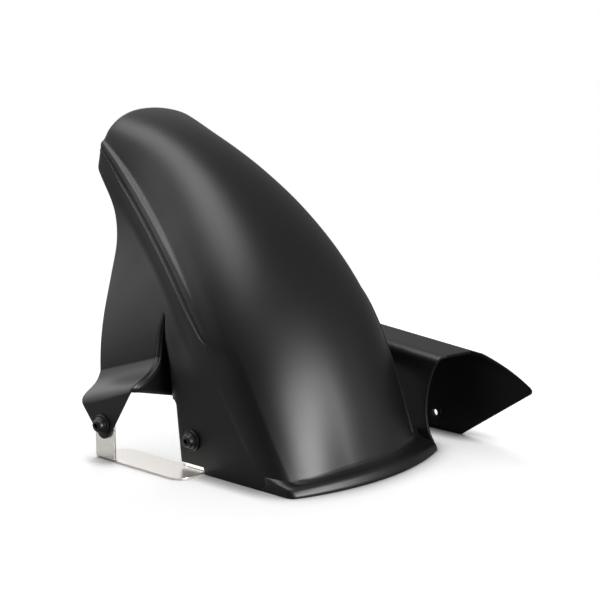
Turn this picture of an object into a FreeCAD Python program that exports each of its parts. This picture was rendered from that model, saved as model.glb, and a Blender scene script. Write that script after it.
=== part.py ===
import FreeCAD, Part
import math
import os
from FreeCAD import Vector

# Rear wheel fender with its chain guard, steel bracket and screws, in millimetres.
# X points forward, Y to the left of the motorcycle, Z up from the floor it stands on.

# Moulded shell
wall = 2.5
axle_x = -345.0
axle_z = -73.0
crown_radius = 371.0
crown_roundness = 2.35
side_foot_radius = 165.0
crease_depth = 3.0

# Crown and side at each angle about the axle: half width, drop from crest to edge, share of the
# round used, offset of the side at its top and at its foot, depth of the soft valley in the side
stations = [
    (12.5, 94.0, 30.5, 0.61, 94.0, 94.0, 10.0),
    (20.0, 98.5, 43.0, 0.73, 95.0, 94.0, 10.0),
    (28.0, 100.0, 50.0, 0.83, 96.5, 94.5, 11.0),
    (36.0, 97.0, 53.0, 0.885, 96.0, 97.0, 14.0),
    (44.0, 89.5, 54.0, 0.92, 90.5, 99.0, 20.0),
    (52.0, 77.5, 54.5, 0.94, 80.5, 99.0, 27.0),
    (60.0, 64.0, 53.0, 0.95, 68.5, 94.5, 33.0),
    (69.0, 52.0, 44.5, 0.955, 56.5, 81.0, 36.0),
    (77.6, 47.5, 26.5, 0.96, 50.0, 70.0, 36.0),
]

# Raised band along the upper crease
band_width = 9.0
band_height = 2.2
band_end_angle = 36.0
band_end_share = 0.12

# Flared lip along the front edge
lip_reach = 18.5
lip_radius = 232.0
lip_root_height = 21.0
lip_root_fall = 9.0
lip_root_lap = 3.0
lip_root_step = 0.8
lip_rim_height = 6.0
lip_rim_bulge = 2.0
lip_end_angle = 26.0
lip_sections = 9
lip_left_end = 96.5
cheek_face = 94.3
cheek_length = 33.0
cheek_top_angle = 15.2

# Trimmed rear edge of the right side, from the crown's tip down to the leg, as (x, z)
flank_drop = 26.0
flank_edge = [(-249.0, 201.0), (-240.0, 178.0), (-238.0, 150.0), (-235.0, 118.0)]

# Rear mounting leg, its shelf and tab
leg_rear_foot = Vector(-224.0, -97.5, 62.0)
leg_front_foot = Vector(-155.5, -96.0, 84.0)
shelf_shift = 3.0
shelf_drop = 12.0
tab_face = 125.0
tab_point_x = -190.0
tab_point_z = 14.4
tab_foot_radius = 8.0
tab_corner_radius = 4.0

# Folded recess between leg and front panel
recess_apex = Vector(-155.4, -89.2, 135.8)
recess_deep = Vector(-152.0, -80.0, 61.0)
recess_panel_foot = Vector(-130.0, -96.0, 60.0)
recess_mouth = 8.0

# Front side panel, raised at its rear foot, with a flat seat for its screw
panel_rear_foot = -126.0
panel_raised_height = 6.0
panel_step = -99.5
panel_step_run = 2.0
seat_face = 95.4
seat_thickness = 4.0
seat_diameter = 24.0

# Chain guard: a sloping channel, its plate cut short and its outer wall drawn to a point
guard_outer = 150.0
guard_inner_top = 98.5
guard_inner_foot = 93.0
guard_height = 83.0
guard_outer_fall = 3.0
guard_tilt = 4.6
guard_inner_round = 9.0
guard_outer_round = 6.0
guard_rear = -175.0
guard_rear_height = 48.0
guard_foot_rear = -125.0
guard_foot_front = -15.0
guard_plate_end = -2.0
guard_plate_margin = 7.0
guard_inner_foot_end = -2.5
guard_inner_top_end = -6.5
guard_inner_hollow = -14.0
guard_shoulder_x = 4.0
guard_shoulder_z = 81.0
guard_brow_x = 31.0
guard_brow_z = 71.5
guard_tip_x = 63.0
guard_tip_z = 54.0
guard_tip_radius = 5.0
guard_hole_x = -44.0
guard_hole_z = 15.5
guard_hole_diameter = 6.5
guard_recess_diameter = 16.0
guard_recess_depth = 1.2

# Web between the crown's left edge and the chain guard
web_front = Vector(-64.0, 98.5, 72.0)
web_rear = Vector(-162.0, 98.5, 80.0)
web_top = Vector(-119.0, 88.0, 151.0)

# Folded steel bracket
steel = 2.0
bend_radius = 3.0
bend_foot = 6.0
upright_width = 24.0
upright_margin = 11.0
upright_corner_radius = 6.0
base_front = -96.5
base_corner_radius = 12.0
relief = 2.5

# M6 fasteners
screw_diameter = 6.0
screw_clearance = 0.6
washer_clearance = 0.4
thread_clearance = 0.1
front_screw_x = -112.0
front_screw_z = 27.5
rear_screw_x = -191.5
rear_screw_z = 32.0
washer_diameter = 18.0
washer_thickness = 2.0
flange_diameter = 14.5
flange_edge = 1.0
flange_height = 2.0
head_diameter = 11.5
head_height = 5.8
head_shoulder = 3.4
head_top_diameter = 7.0
socket_width = 4.0
socket_depth = 2.8
nut_width = 10.0
nut_height = 5.2
nut_chamfer = 0.9
thread_end = 3.0
thread_chamfer = 0.8

far = 400.0
right_limit = -30.0
left = Vector(0, 1, 0)
right = Vector(0, -1, 0)
front_screw = (front_screw_x, front_screw_z)
rear_screw = (rear_screw_x, rear_screw_z)
hole_diameter = screw_diameter + screw_clearance
seat_back = seat_face - seat_thickness
tab_back = tab_face - wall


def fan(angle, y, radius):
    a = math.radians(angle)
    return Vector(axle_x + radius * math.cos(a), y, axle_z + radius * math.sin(a))


def spline(points, steps=None):
    # Smooth curve through points; the sections of one loft share their steps, so that they match.
    curve = Part.BSplineCurve()
    curve.interpolate(Points=points, Parameters=steps or chords(points))
    return curve.toShape()


def chords(points):
    # Distance along the points, from the first to each.
    steps = [0.0]
    for p, q in zip(points, points[1:]):
        steps.append(steps[-1] + p.distanceToPoint(q))
    return steps


def polygon(points):
    return Part.makePolygon(points + [points[0]])


def prism(outline, direction):
    return Part.Face(outline).extrude(direction)


def cylinder(diameter, length, base, direction):
    return Part.makeCylinder(diameter / 2, length, base, direction)


def roundness(u, share):
    # Fall of the crown's round from its crest, as a part of the fall at its edge.
    power = crown_roundness
    full = 1 - (1 - share ** power) ** (1 / power)
    return (1 - (1 - abs(share * u) ** power) ** (1 / power)) / full


def dome(station, count):
    # Points across the crown as (y, radius), from the left edge to the right edge.
    angle, half, drop, share, top, foot, valley = station
    points = []
    for i in range(count + 1):
        u = math.cos(math.pi * i / count)
        points.append((half * u, crown_radius - drop * roundness(u, share)))
    return points


def side(station, count):
    # Points down the right side as (y, radius), from the crease to the foot.
    angle, half, drop, share, top, foot, valley = station
    start = crown_radius - drop - crease_depth
    points = []
    for i in range(count + 1):
        radius = start + (side_foot_radius - start) * (i / count) ** 1.5
        depth = max(0.0, crown_radius - drop - radius - valley)
        flare = depth / (crown_radius - drop - side_foot_radius - valley)
        points.append((-top - (foot - top) * flare, radius))
    return points


def inset(points, distance):
    # The same line moved to the inside of the shell by a distance.
    moved = []
    for i, (y, r) in enumerate(points):
        before = points[max(i - 1, 0)]
        after = points[min(i + 1, len(points) - 1)]
        dy = after[0] - before[0]
        dr = after[1] - before[1]
        length = math.hypot(dy, dr)
        moved.append((y - dr / length * distance, r + dy / length * distance))
    return moved


def skin_lines(station):
    # The section's four curves: crown, side, then the side's and the crown's inner faces.
    angle = station[0]
    across = dome(station, 16)
    outer = across + side(station, 6)
    out = [fan(angle, y, r) for y, r in outer]
    back = [fan(angle, y, r) for y, r in inset(outer, wall)]
    corner = len(across) - 1
    return [out[:corner + 1], out[corner:], back[corner:][::-1], back[:corner + 1][::-1]]


def make_skin():
    steps = [chords(line) for line in skin_lines(stations[len(stations) // 2])]
    sections = []
    for station in stations:
        lines = skin_lines(station)
        crown, flank, flank_back, crown_back = [spline(p, s) for p, s in zip(lines, steps)]
        foot = Part.makeLine(lines[1][-1], lines[2][0])
        edge = Part.makeLine(lines[3][-1], lines[0][0])
        sections.append(Part.Wire([crown, flank, foot, flank_back, crown_back, edge]))
    return Part.makeLoft(sections, True)


def make_band():
    # A raised strip on the crease that runs out to a point toward the front.
    rows = [station for station in stations if station[0] >= band_end_angle]
    sections = []
    for i, station in enumerate(rows):
        angle, half, drop = station[:3]
        top = station[4]
        share = min(1.0, band_end_share + (1 - band_end_share) * i / 2)
        height = band_height * share
        width = band_width * share
        edge = crown_radius - drop - crease_depth
        sections.append(polygon([
            fan(angle, -top - height, edge),
            fan(angle, -top - height, edge - width),
            fan(angle, -top + wall / 2, edge - width - height),
            fan(angle, -top + wall / 2, edge + height),
        ]))
    return Part.makeLoft(sections, True)


def rounded(corners, place):
    # Closed outline through corners (a, b, radius), each corner rounded by its radius.
    edges = []
    ends = []
    count = len(corners)
    for i, (a, b, radius) in enumerate(corners):
        here = Vector(a, b, 0)
        before = Vector(corners[i - 1][0], corners[i - 1][1], 0) - here
        after = Vector(corners[(i + 1) % count][0], corners[(i + 1) % count][1], 0) - here
        half = before.getAngle(after) / 2
        run = radius / math.tan(half)
        first = here + before.normalize() * run
        last = here + after.normalize() * run
        middle = here + (before + after).normalize() * (radius / math.sin(half) - radius)
        ends.append((first, middle, last))
    for i, (first, middle, last) in enumerate(ends):
        if first.distanceToPoint(last) > 1e-6:
            edges.append(Part.Arc(place(first), place(middle), place(last)).toShape())
        following = ends[(i + 1) % count][0]
        if last.distanceToPoint(following) > 1e-6:
            edges.append(Part.makeLine(place(last), place(following)))
    return Part.Wire(edges)


def in_side_view(y):
    return lambda p: Vector(p.x, y, p.y)


def across(x):
    return lambda p: Vector(x, p.x, p.y)


def on_floor(z):
    return lambda p: Vector(p.x, p.y, z)


def solid_of(faces):
    return Part.makeSolid(Part.makeShell([Part.Face(polygon(f)) for f in faces]))


def station_at(angle):
    # Half width, drop and share of the crown between two stations.
    for low, high in zip(stations, stations[1:]):
        if angle <= high[0]:
            break
    part = (angle - low[0]) / (high[0] - low[0])
    return [p + (q - p) * part for p, q in zip(low[1:4], high[1:4])]


def crown_reach(turn, height):
    # Distance from the lip's upright axis to the crown, in one direction and at one height.
    near = lip_radius / 2
    away = lip_radius * 1.2
    for step in range(40):
        reach = (near + away) / 2
        x = lip_reach - lip_radius + reach * math.cos(turn) - axle_x
        z = height - axle_z
        half, drop, share = station_at(math.degrees(math.atan2(z, x)))
        u = min(1.0, abs(reach * math.sin(turn) / half))
        if math.hypot(x, z) < crown_radius - drop * roundness(u, share):
            near = reach
        else:
            away = reach
    return near


def lip_root(turn):
    return lip_root_height - lip_root_fall * (math.degrees(turn) / lip_end_angle) ** 2


def lip_line(turn):
    # The lip's S-shaped face as (reach, height), from under the crown's edge to the floor.
    root = lip_root(turn)
    start = crown_reach(turn, root)
    rim = lip_radius + lip_rim_bulge
    flare = rim - start
    rise = root - lip_rim_height
    return [
        (crown_reach(turn, root + lip_root_lap) - lip_root_step, root + lip_root_lap),
        (start - lip_root_step + 0.1 * flare, lip_rim_height + 0.64 * rise),
        (start + 0.5 * flare, lip_rim_height + 0.29 * rise),
        (start + 0.87 * flare, lip_rim_height + 0.16 * rise),
        (rim, lip_rim_height),
        (rim - 0.3 * lip_rim_bulge, 0.5 * lip_rim_height),
        (lip_radius, 0.0),
    ]


def lip_turns():
    step = 2 * lip_end_angle / (lip_sections - 1)
    return [math.radians(step * i - lip_end_angle) for i in range(lip_sections)]


def lip_place(turn):
    axis = lip_reach - lip_radius
    return lambda p: Vector(axis + p[0] * math.cos(turn), p[0] * math.sin(turn), p[1])


def lip_lines(turn):
    outer = lip_line(turn)
    inner = inset(outer, -wall)[:3] + [(reach - wall, height) for reach, height in outer[-2:]]
    place = lip_place(turn)
    return [place(p) for p in outer], [place(p) for p in inner][::-1]


def make_lip():
    # Flared strip whose root follows the crown, ending flush with the front panel and past the guard.
    steps = [chords(line) for line in lip_lines(0.0)]
    sections = []
    for turn in lip_turns():
        out, back = lip_lines(turn)
        face, rear = [spline(p, s) for p, s in zip((out, back), steps)]
        foot = Part.makeLine(out[-1], back[0])
        root = Part.makeLine(back[-1], out[0])
        sections.append(Part.Wire([face, foot, rear, root]))
    width = Part.makeBox(2 * far, cheek_face + lip_left_end, far, Vector(-far, -cheek_face, 0))
    return Part.makeLoft(sections, True).common(width)


def below_lip():
    # The room under the lip, where the crown's own edge ends.
    sections = []
    for turn in lip_turns():
        root = lip_root(turn)
        corners = [(lip_radius / 2, -far), (lip_radius * 1.2, -far), (lip_radius * 1.2, root)]
        corners.append((lip_radius / 2, root))
        sections.append(polygon([lip_place(turn)(p) for p in corners]))
    return Part.makeLoft(sections, True)


def make_cheek():
    # Small plate that closes the lip's right end against the crown's corner and the front panel.
    edge = []
    for reach, height in lip_line(-math.asin(cheek_face / lip_radius))[1:]:
        x = lip_reach - lip_radius + math.sqrt(reach ** 2 - cheek_face ** 2)
        edge.append(Vector(x, -cheek_face, height))
    half, drop, share = station_at(cheek_top_angle)
    top = fan(cheek_top_angle, -cheek_face, crown_radius - drop - crease_depth)
    rear = edge[-1].x - cheek_length
    trail = [edge[-1], Vector(rear, -cheek_face, 0), Vector(rear, -cheek_face, top.z), top, edge[0]]
    outline = Part.Wire([spline(edge)] + Part.makePolygon(trail).Edges)
    return prism(outline, Vector(0, wall, 0))


def right_trim():
    # Everything beyond the trimmed edge of the right side.
    tip = stations[-1]
    corner = fan(tip[0], 0, crown_radius - tip[2] - flank_drop)
    edge = [corner] + [Vector(x, 0, z) for x, z in flank_edge]
    edge.append(Vector(leg_rear_foot.x, 0, leg_rear_foot.z))
    trail = [
        edge[-1],
        Vector(leg_front_foot.x, 0, leg_front_foot.z),
        Vector(recess_panel_foot.x, 0, recess_panel_foot.z),
        Vector(panel_rear_foot, 0, panel_raised_height),
        Vector(panel_step, 0, panel_raised_height),
        Vector(panel_step + panel_step_run, 0, 0),
        Vector(far, 0, 0),
        Vector(far, 0, -far),
        Vector(-far, 0, -far),
        Vector(-far, 0, corner.z),
        corner,
    ]
    outline = Part.Wire([spline(edge)] + Part.makePolygon(trail).Edges)
    outline.translate(Vector(0, -far, 0))
    return prism(outline, Vector(0, far + right_limit, 0))


def shelf_edge(foot):
    return Vector(foot.x + shelf_shift, -tab_face, foot.z - shelf_drop)


def make_leg_foot():
    # Shelf stepping out from the leg, with the screw tab hanging from its outer edge.
    inward = Vector(0, wall, 0)
    rear = shelf_edge(leg_rear_foot)
    front = shelf_edge(leg_front_foot)
    inner = Part.makeLine(leg_rear_foot + inward, leg_front_foot + inward)
    outer = Part.makeLine(rear, front)
    shelf = Part.makeRuledSurface(inner, outer).extrude(Vector(0, 0, -wall))
    outline = rounded([
        (rear.x, rear.z, tab_corner_radius),
        (front.x, front.z, 0.0),
        (tab_point_x, tab_point_z, tab_foot_radius),
    ], in_side_view(-tab_face))
    return shelf.fuse(prism(outline, inward))


def recess_void():
    out = Vector(0, -recess_mouth, 0)
    a, b, c, d = recess_apex, leg_front_foot + out, recess_panel_foot + out, recess_deep
    return solid_of([[a, b, c], [a, b, d], [b, c, d], [c, a, d]])


def beyond(a, b, c, near):
    # Everything past the plane through three points, on the side away from a fourth.
    normal = (b - a).cross(c - a).normalize()
    if normal.dot(near - a) > 0:
        normal = -normal
    plane = Part.makePlane(far, far, a, normal)
    plane.translate(a - plane.CenterOfMass)
    return plane.extrude(normal * far)


def make_recess(void):
    # Thin walls round the recess, kept behind its mouth, below its apex, open at its foot and cut flat
    # at its depth, with a web that carries the leg's side on to the front of the shelf.
    block = void.makeOffsetShape(wall, 0.01, join=2)
    depth = Part.makeBox(2 * far, far, far, Vector(-far, recess_deep.y + wall, 0))
    over = Part.makeBox(2 * far, far, far, Vector(-far, -far, recess_apex.z - recess_mouth))
    inward = Vector(0, wall / 2, 0)
    a, b, c = [corner + inward for corner in (recess_apex, leg_front_foot, recess_panel_foot)]
    mouth = beyond(a, b, c, recess_deep)
    foot = beyond(leg_front_foot, recess_panel_foot, recess_deep, recess_apex)
    web = Part.Face(polygon([leg_front_foot, shelf_edge(leg_front_foot), recess_deep]))
    web = web.extrude(Vector(-wall, wall / 2, 0))
    return block.cut([mouth, foot, depth, over]).fuse(web)


def make_guard():
    # Inverted channel, tilted down toward the front, then trimmed in side view.
    low = guard_height - guard_outer_fall
    outer = rounded([
        (guard_inner_foot, -far, 0.0),
        (guard_inner_foot, 0.0, 0.0),
        (guard_inner_top, guard_height, guard_inner_round),
        (guard_outer, low, guard_outer_round),
        (guard_outer, -far, 0.0),
    ], across(-far))
    inner = rounded([
        (guard_inner_foot + wall, -far, 0.0),
        (guard_inner_foot + wall, 0.0, 0.0),
        (guard_inner_top + wall, guard_height - wall, guard_inner_round - wall),
        (guard_outer - wall, low - wall, guard_outer_round - wall),
        (guard_outer - wall, -far, 0.0),
    ], across(-far))
    length = Vector(2 * far, 0, 0)
    channel = prism(outer, length).cut(prism(inner, length))
    channel.rotate(Vector(0, 0, guard_height), left, guard_tilt)
    return channel.common(guard_outline()).cut([guard_plate_cut(), guard_inner_cut()])


def guard_outline():
    shoulder = Vector(guard_shoulder_x, 0, guard_shoulder_z)
    brow = Vector(guard_brow_x, 0, guard_brow_z)
    tip = Vector(guard_tip_x - guard_tip_radius / 2, 0, guard_tip_z + guard_tip_radius)
    nose = Vector(guard_tip_x, 0, guard_tip_z)
    chin = Vector(guard_tip_x - guard_tip_radius, 0, guard_tip_z - guard_tip_radius)
    trail = [
        chin,
        Vector(guard_foot_front, 0, 0),
        Vector(guard_foot_rear, 0, 0),
        Vector(guard_rear, 0, guard_rear_height),
        Vector(guard_rear, 0, far),
        Vector(guard_shoulder_x, 0, far),
        shoulder,
    ]
    front = [Part.Arc(shoulder, brow, tip).toShape(), Part.Arc(tip, nose, chin).toShape()]
    outline = Part.Wire(front + Part.makePolygon(trail).Edges)
    return prism(outline, Vector(0, far, 0))


def guard_plate_cut():
    size = Vector(far, guard_outer - guard_plate_margin, far)
    return Part.makeBox(size.x, size.y, size.z, Vector(guard_plate_end, 0, 0))


def guard_inner_cut():
    # Hollow front edge of the inner wall, below the rolled edge of the plate.
    top = guard_height - guard_inner_round
    low = Vector(guard_inner_foot_end, 0, 0)
    middle = Vector(guard_inner_hollow, 0, 0.65 * top)
    high = Vector(guard_inner_top_end, 0, top)
    trail = [high, Vector(far, 0, top), Vector(far, 0, 0), low]
    outline = Part.Wire([Part.Arc(low, middle, high).toShape()] + Part.makePolygon(trail).Edges)
    return prism(outline, Vector(0, guard_outer - guard_plate_margin, 0))


def cut_guard_hole(shell):
    seat = Vector(guard_hole_x, guard_outer - 2 * wall, guard_hole_z)
    hole = cylinder(guard_hole_diameter, 4 * wall, seat, left)
    recess = cylinder(guard_recess_diameter, wall + guard_recess_depth, seat, left)
    return shell.cut(hole).cut(recess)


def make_web():
    face = Part.Face(polygon([web_front, web_rear, web_top]))
    return face.extrude(Vector(0, -wall, 0))


def make_shell():
    void = recess_void()
    skin = make_skin().cut(below_lip()).fuse(make_band()).cut(right_trim())
    shell = skin.fuse([make_lip(), make_cheek(), make_leg_foot(), make_recess(void)]).cut(void)
    shell = shell.fuse([make_guard(), make_web()])
    seat = Vector(front_screw_x, -seat_face, front_screw_z)
    shell = shell.fuse(cylinder(seat_diameter, seat_thickness, seat, left))
    for x, z in (front_screw, rear_screw):
        shell = shell.cut(cylinder(hole_diameter, far, Vector(x, -seat_back + wall, z), right))
    return cut_guard_hole(shell).removeSplitter()


def make_upright(face, screw, turn):
    # One upright of the bracket with its bend, its outside against a face; turn is the way it faces.
    x, z = screw
    top = z + upright_margin
    profile = rounded([
        (face, top, 0.0),
        (face, 0.0, bend_radius),
        (face + turn * bend_foot, 0.0, 0.0),
        (face + turn * bend_foot, steel, 0.0),
        (face + turn * steel, steel, bend_radius - steel),
        (face + turn * steel, top, 0.0),
    ], across(x - upright_width / 2))
    outline = rounded([
        (x - upright_width / 2, 0.0, 0.0),
        (x + upright_width / 2, 0.0, 0.0),
        (x + upright_width / 2, top, upright_corner_radius),
        (x - upright_width / 2, top, upright_corner_radius),
    ], in_side_view(-far))
    upright = prism(profile, Vector(upright_width, 0, 0)).common(prism(outline, left * far))
    return upright.cut(cylinder(hole_diameter, far, Vector(x, -far / 2, z), left))


def make_bracket():
    # Base plate on the floor with an upright behind the tab and another behind the front panel.
    outer_edge = -tab_back
    inner_edge = -seat_back + steel
    rear = rear_screw_x - upright_width / 2
    front = front_screw_x + upright_width / 2
    base = prism(rounded([
        (rear, outer_edge, 0.0),
        (base_front, outer_edge, base_corner_radius),
        (front, inner_edge, 0.0),
        (rear, inner_edge, base_corner_radius),
    ], on_floor(0)), Vector(0, 0, steel))
    slot = upright_width + relief
    notches = [
        Part.makeBox(slot, bend_radius, steel, Vector(rear, outer_edge, 0)),
        Part.makeBox(slot + relief, bend_radius, steel, Vector(front - slot, inner_edge - bend_radius, 0)),
    ]
    uprights = [make_upright(outer_edge, rear_screw, 1), make_upright(inner_edge, front_screw, -1)]
    return base.cut(notches).fuse(uprights).removeSplitter()


def make_washer():
    ring = cylinder(washer_diameter, washer_thickness, Vector(), left)
    return ring.cut(cylinder(screw_diameter + washer_clearance, washer_thickness, Vector(), left))


def make_screw(grip):
    # Flanged round-head screw along Y, the underside of its flange at the origin, its head to the right.
    end = grip + nut_height + thread_end
    radius = screw_diameter / 2
    brow = Vector(head_diameter / 2, -head_shoulder, 0)
    crown = Vector(head_top_diameter / 2, -head_height, 0)
    middle = (brow + crown) / 2 + Vector(1, -1, 0) * (head_height - head_shoulder) * 0.25
    trail = Part.makePolygon([
        crown,
        Vector(0, -head_height, 0),
        Vector(0, end, 0),
        Vector(radius - thread_chamfer, end, 0),
        Vector(radius, end - thread_chamfer, 0),
        Vector(radius, 0, 0),
        Vector(flange_diameter / 2, 0, 0),
        Vector(flange_diameter / 2, -flange_edge, 0),
        Vector(head_diameter / 2, -flange_height, 0),
        brow,
    ])
    outline = Part.Wire([Part.Arc(brow, middle, crown).toShape()] + trail.Edges)
    screw = Part.Face(outline).revolve(Vector(), left, 360)
    return screw.cut(hexagon(socket_width, socket_depth, -head_height))


def hexagon(width, length, start):
    corner = width / math.sqrt(3)
    points = []
    for i in range(6):
        a = math.radians(60 * i)
        points.append(Vector(corner * math.cos(a), start, corner * math.sin(a)))
    return prism(polygon(points), left * length)


def make_nut():
    corner = nut_width / math.sqrt(3)
    outline = polygon([
        Vector(0, 0, 0),
        Vector(corner, 0, 0),
        Vector(corner, nut_height - nut_chamfer / 2, 0),
        Vector(corner - nut_chamfer, nut_height, 0),
        Vector(0, nut_height, 0),
    ])
    blank = Part.Face(outline).revolve(Vector(), left, 360)
    bore = cylinder(screw_diameter + thread_clearance, nut_height, Vector(), left)
    return hexagon(nut_width, nut_height, 0).common(blank).cut(bore)


def at(shape, screw, y):
    return shape.translated(Vector(screw[0], y, screw[1]))


if __name__ == "__main__":
    os.makedirs("parts", exist_ok=True)
    nodes = {"fender_shell": make_shell(), "bracket": make_bracket()}
    for name, screw, face, back in (
        ("front", front_screw, seat_face, seat_back),
        ("rear", rear_screw, tab_face, tab_back),
    ):
        head = face + washer_thickness
        nut = back - steel
        nodes[name + "_washer"] = at(make_washer(), screw, -head)
        nodes[name + "_screw"] = at(make_screw(head - nut), screw, -head)
        nodes[name + "_nut"] = at(make_nut(), screw, -nut)
    box = Part.makeCompound(list(nodes.values())).optimalBoundingBox(False)
    origin = Vector(box.Center.x, box.Center.y, box.ZMin)
    for name, shape in nodes.items():
        shape.Solids[0].translated(-origin).exportStep("parts/" + name + ".step")
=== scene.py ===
import math
import bmesh
import bpy
import numpy as np
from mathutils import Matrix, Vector


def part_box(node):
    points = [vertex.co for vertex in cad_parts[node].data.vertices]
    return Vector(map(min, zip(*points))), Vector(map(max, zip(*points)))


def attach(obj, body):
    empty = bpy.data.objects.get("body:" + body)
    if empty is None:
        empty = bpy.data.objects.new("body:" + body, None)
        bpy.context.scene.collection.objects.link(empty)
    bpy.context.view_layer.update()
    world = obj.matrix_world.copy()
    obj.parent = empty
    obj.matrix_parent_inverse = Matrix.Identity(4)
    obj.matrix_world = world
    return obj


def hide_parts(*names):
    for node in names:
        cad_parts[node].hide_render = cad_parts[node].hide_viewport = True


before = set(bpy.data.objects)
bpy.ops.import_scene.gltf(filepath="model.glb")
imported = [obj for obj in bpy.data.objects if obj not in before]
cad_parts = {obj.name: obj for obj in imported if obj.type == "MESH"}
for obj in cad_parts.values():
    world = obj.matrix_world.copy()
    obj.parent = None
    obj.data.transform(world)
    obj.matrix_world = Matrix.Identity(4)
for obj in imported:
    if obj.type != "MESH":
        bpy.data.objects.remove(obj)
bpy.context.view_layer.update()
scene = bpy.context.scene
scene.view_settings.view_transform = "Standard"

# Shapes are drawn in millimetres: X forward, Y to the left, Z up, the wheel's axle behind and below.
drawing = {"frontSeat": (-112.0, -95.4, 27.5)}  # where the front washer sits on the panel
seatLow, seatHigh = [np.array(corner) * 1000 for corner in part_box("front_washer")]
seatInFrame = np.array([(seatLow[0] + seatHigh[0]) / 2, seatHigh[1], (seatLow[2] + seatHigh[2]) / 2])
drawingShift = seatInFrame - np.array(drawing["frontSeat"])
print("frame loaded, drawing moved by", np.round(drawingShift, 2))


def toFrame(points):
    return (np.asarray(points, float) + drawingShift) * 0.001


def smoothStep(t):
    t = np.clip(t, 0.0, 1.0)
    return t * t * (3 - 2 * t)


def straightPath(points, counts):  # points along straight runs, each corner kept
    points = np.asarray(points, float)
    runs = [points[:1]]
    for start, end, count in zip(points, points[1:], counts):
        runs.append(start + (end - start) * np.linspace(0, 1, count + 1)[1:, None])
    return np.concatenate(runs)


def smoothPath(points, count):  # an even walk along a smooth curve through the points
    points = np.asarray(points, float)
    steps = np.concatenate([[0], np.cumsum(np.linalg.norm(np.diff(points, axis=0), axis=1))])
    slopes = np.gradient(points, steps, axis=0)
    return hermite(steps, points, slopes, np.linspace(0, steps[-1], count))


def hermite(steps, values, slopes, at):
    at = np.clip(np.asarray(at, float), steps[0], steps[-1])
    i = np.clip(np.searchsorted(steps, at) - 1, 0, len(steps) - 2)
    gap = (steps[i + 1] - steps[i])[..., None]
    t = (at - steps[i])[..., None] / gap
    start = (2 * t ** 3 - 3 * t ** 2 + 1) * values[i] + (t ** 3 - 2 * t ** 2 + t) * gap * slopes[i]
    return start + (3 * t ** 2 - 2 * t ** 3) * values[i + 1] + (t ** 3 - t ** 2) * gap * slopes[i + 1]


def softCurve(corners, perRun):  # corners (..., k, 2): a line that rounds every corner and keeps both ends
    first = (corners[..., 1, :] - corners[..., 0, :]) / 4
    last = (corners[..., -1, :] - corners[..., -2, :]) / 4
    ends = [corners[..., :1, :] - first[..., None, :], corners[..., :1, :] + first[..., None, :]]
    tail = [corners[..., -1:, :] - last[..., None, :], corners[..., -1:, :] + last[..., None, :]]
    line = np.concatenate(ends + [corners[..., 1:-1, :]] + tail, axis=-2)
    samples = []
    for k in range(line.shape[-2] - 2):
        p, q, r = line[..., k, :], line[..., k + 1, :], line[..., k + 2, :]
        for t in np.arange(perRun) / perRun:
            samples.append(((1 - t) ** 2 * p + (1 + 2 * t - 2 * t * t) * q + t * t * r) / 2)
    samples.append((line[..., -2, :] + line[..., -1, :]) / 2)
    return np.stack(samples, axis=-2)


def patch(top, bottom, left, right):  # even net between four edges, each from left to right or downward
    u = np.linspace(0, 1, len(top))[None, :, None]
    v = np.linspace(0, 1, len(left))[:, None, None]
    across = (1 - u) * left[:, None] + u * right[:, None]
    down = (1 - v) * top[None] + v * bottom[None]
    corners = (1 - v) * ((1 - u) * top[0] + u * top[-1]) + v * ((1 - u) * bottom[0] + u * bottom[-1])
    return across + down - corners


def between(first, second, parts):  # straight net from one edge to another
    t = np.linspace(0, 1, parts + 1)[:, None, None]
    return first[None] * (1 - t) + second[None] * t


meshing = {
    "merge": 0.04, "sliver": 0.02, "foldAngle": 0.16, "foldEase": 0.5,  # mm, mm, radians, share of a step
    "rimSegments": 2, "rimAngle": 50.0, "smoothAngle": 45.0, "halvings": 40,
}


def addNet(mesh, points, layer, firm):
    rows = [[mesh.verts.new(toFrame(p)) for p in row] for row in points]
    for corner in [corner for row in rows for corner in row]:
        corner[layer] = firm
    for upper, lower in zip(rows, rows[1:]):
        for k in range(len(upper) - 1):
            mesh.faces.new((upper[k], lower[k], lower[k + 1], upper[k + 1]))


def joinNets(nets, outside, soften=0, firm=0):
    # Nets that share an edge become one skin that faces the point outside. Folds are softened, except in
    # the first firm nets, which stay as drawn.
    mesh = bmesh.new()
    layer = mesh.verts.layers.int.new("firm")
    for k, net in enumerate(nets):
        addNet(mesh, net, layer, int(k < firm))
    bmesh.ops.remove_doubles(mesh, verts=mesh.verts, dist=meshing["merge"] * 0.001)
    bmesh.ops.dissolve_degenerate(mesh, edges=mesh.edges, dist=meshing["sliver"] * 0.001)
    bmesh.ops.recalc_face_normals(mesh, faces=mesh.faces)
    target = Vector(toFrame(outside))
    nearest = min(mesh.faces, key=lambda face: (face.calc_center_median() - target).length)
    if nearest.normal.dot(target - nearest.calc_center_median()) < 0:
        bmesh.ops.reverse_faces(mesh, faces=mesh.faces)
    for turn in range(soften):
        mesh.normal_update()
        inner = [e for e in mesh.edges if len(e.link_faces) == 2]
        folds = [e for e in inner if e.calc_face_angle() > meshing["foldAngle"]]
        corners = {v for e in folds for v in e.verts if not v.is_boundary and not v[layer]}
        sides = {"use_axis_x": True, "use_axis_y": True, "use_axis_z": True}
        bmesh.ops.smooth_vert(mesh, verts=list(corners), factor=meshing["foldEase"], **sides)
    mesh.verts.layers.int.remove(layer)
    mesh.normal_update()
    return mesh


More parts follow.
